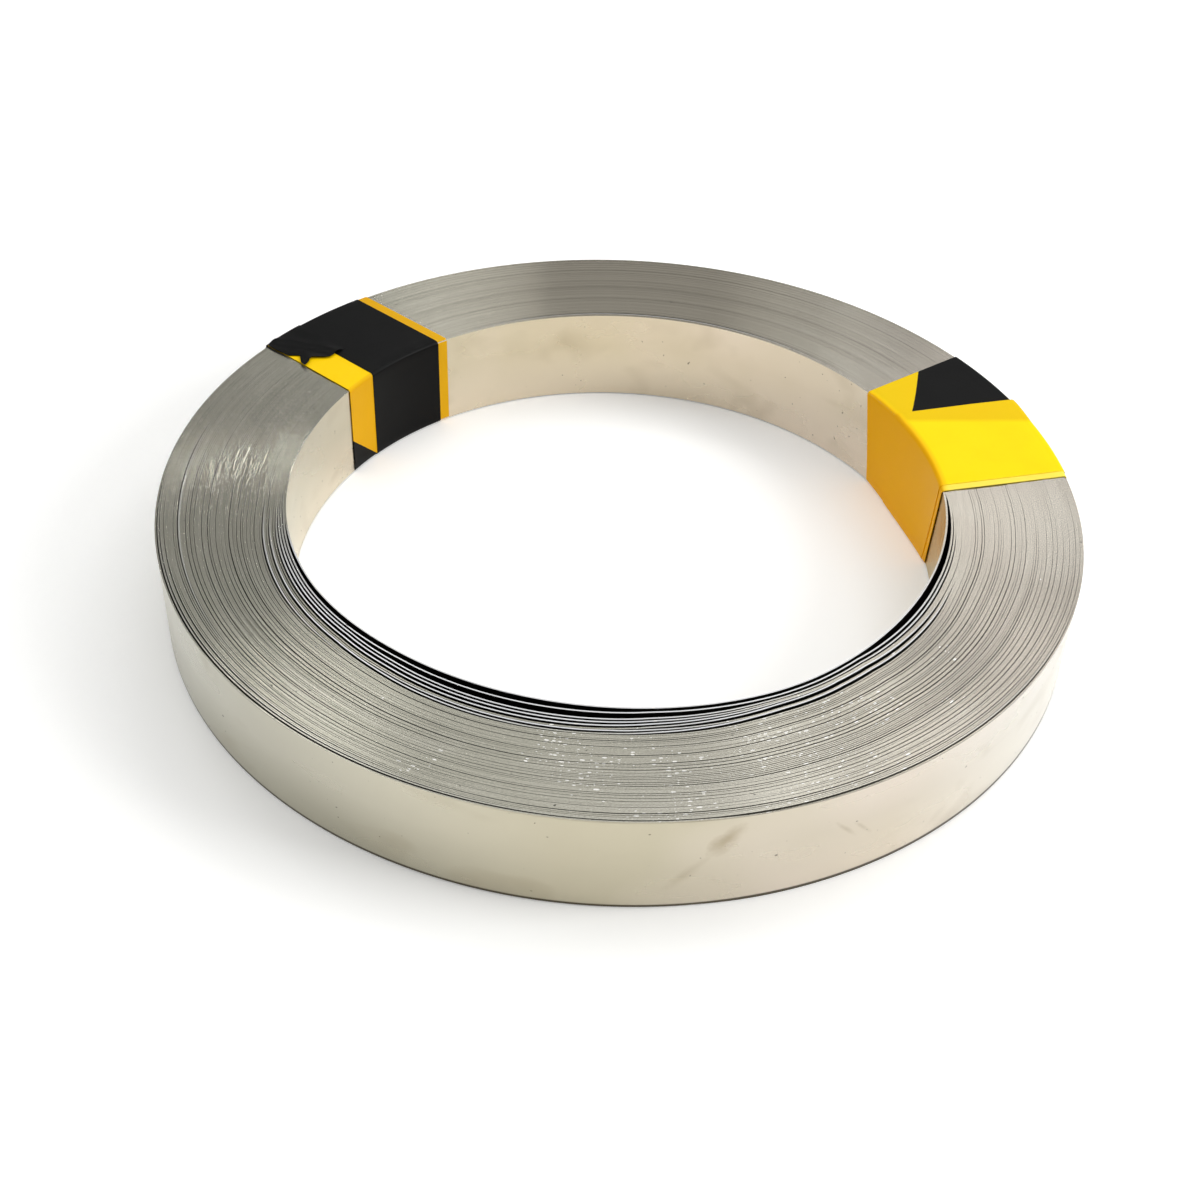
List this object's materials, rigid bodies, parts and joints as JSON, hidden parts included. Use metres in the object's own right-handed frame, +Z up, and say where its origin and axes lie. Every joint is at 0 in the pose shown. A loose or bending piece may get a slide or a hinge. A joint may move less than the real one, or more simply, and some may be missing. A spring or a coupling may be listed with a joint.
{
  "type": "steel strip coil",
  "caption": "Flat-lying ring coil of narrow bright steel strip with an open bore, its turn edges showing on both ends and held by wraps of striped warning tape.",
  "frame": {"origin": "on the coil's axis, at the floor it lies on", "axes": "+Z up along the coil's axis; -Y is the side with no tape, which faces the viewer in the picture; +X is to that viewer's right"},
  "size_m": [0.1412, 0.1412, 0.0166],
  "materials": {
    "strip_steel": "bright rolled faces with grey slit edges on the ends",
    "tape_left_film": "glossy printed film, black over yellow",
    "tape_right_film": "glossy printed film, yellow with a black patch"
  },
  "bodies": {
    "root": {"strip_coil": "strip_steel", "tape_left": "tape_left_film", "tape_right": "tape_right_film"}
  },
  "joints": []
}
